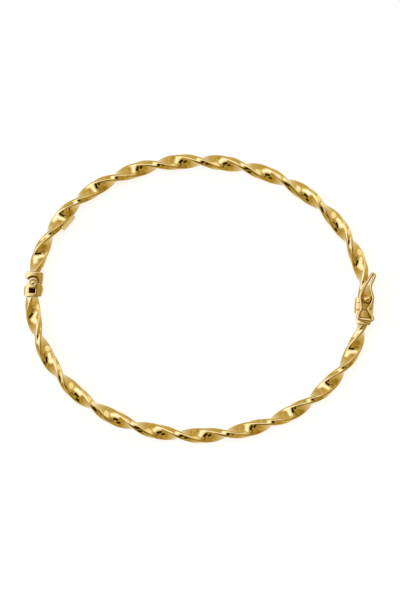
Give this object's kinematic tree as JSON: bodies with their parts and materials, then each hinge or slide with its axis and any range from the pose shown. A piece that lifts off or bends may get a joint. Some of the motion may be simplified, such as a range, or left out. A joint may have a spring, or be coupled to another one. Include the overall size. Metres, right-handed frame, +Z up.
{
  "type": "twisted bangle",
  "caption": "Oval hinged bangle of twisted rectangular bar that opens on a pin hinge and closes with a tongue, a box and a wire safety catch over a ball.",
  "frame": {"origin": "middle of the oval, on the surface that the bangle lies on", "axes": "the oval is level: +X points to the clasp, +Y to the half that has the small inner plate, and +Z is up, out of the side that the safety catch is on"},
  "size_m": [0.0669, 0.0549, 0.0042],
  "materials": {
    "band": "polished",
    "fittings": "polished",
    "catch_wire": "polished"
  },
  "bodies": {
    "lower_half": {"lower_band": "band", "lower_hinge_block": "fittings", "hinge_pin": "fittings", "clasp_box": "fittings", "catch_tube": "fittings"},
    "upper_half": {"upper_band": "band", "upper_hinge_block": "fittings", "upper_clasp_block": "fittings", "clasp_tongue": "fittings", "clasp_ball": "fittings", "inner_plate": "fittings"},
    "catch": {"safety_catch": "catch_wire"}
  },
  "joints": [
    {"name": "bangle_hinge", "type": "hinge", "parent": "lower_half", "child": "upper_half", "pos_m": [-0.03135, 0.00297, 0.00145], "axis": [0, 0, 1], "range_deg": [0, 46]},
    {"name": "catch_pivot", "type": "hinge", "parent": "lower_half", "child": "catch", "pos_m": [0.03167, -0.00404, 0.00334], "axis": [0.9902, -0.1396, 0], "range_deg": [0, 175]}
  ]
}
